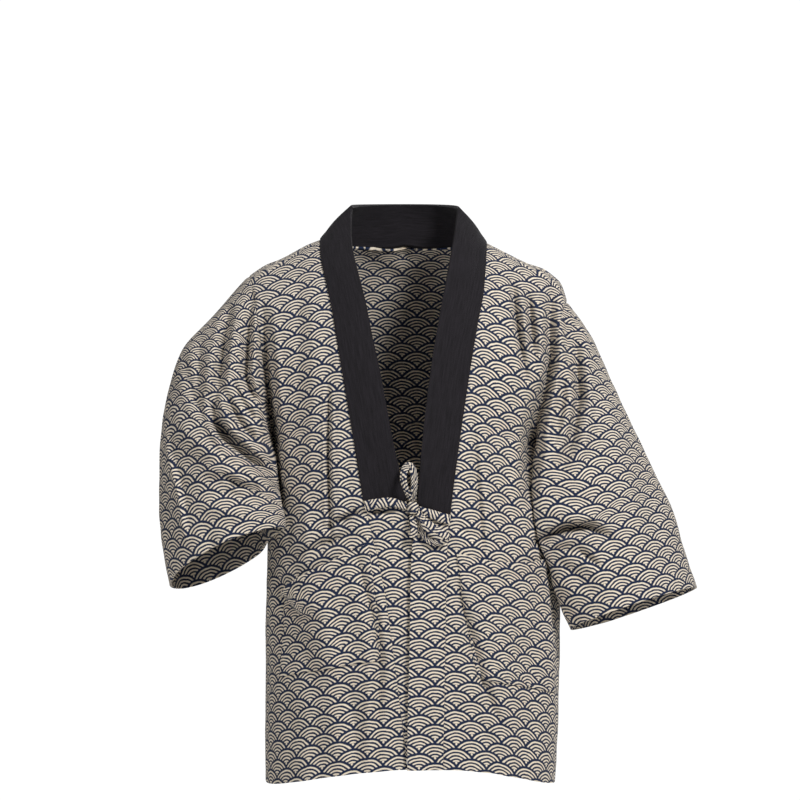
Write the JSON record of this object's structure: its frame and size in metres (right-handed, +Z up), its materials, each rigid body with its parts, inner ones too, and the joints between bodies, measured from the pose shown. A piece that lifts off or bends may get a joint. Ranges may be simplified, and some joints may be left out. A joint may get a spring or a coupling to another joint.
{
  "type": "padded kimono jacket",
  "caption": "A short padded kimono jacket in navy and cream wave-scale print with a black collar, tied with a bow, worn and hollow",
  "frame": {"origin": "where the wearer's shoulders hold the coat: the middle of the neck opening, level with the seams beside the neck", "axes": "+Z up along the worn coat, -Y the front, +X the wearer's left, to the right as seen from the front"},
  "size_m": [0.7029, 0.3167, 0.7587],
  "materials": {
    "wave_print_cotton": "matte",
    "black_cotton": "matte"
  },
  "bodies": {
    "root": {"front_right": "wave_print_cotton", "front_left": "wave_print_cotton", "back": "wave_print_cotton", "sleeve_right": "wave_print_cotton", "sleeve_left": "wave_print_cotton", "collar": "black_cotton", "band_right": "wave_print_cotton", "band_left": "wave_print_cotton", "pocket_right": "wave_print_cotton", "pocket_left": "wave_print_cotton", "tie_right": "wave_print_cotton", "tie_left": "wave_print_cotton", "knot": "wave_print_cotton", "loop_up": "wave_print_cotton", "loop_side": "wave_print_cotton", "tail": "wave_print_cotton"}
  },
  "joints": []
}
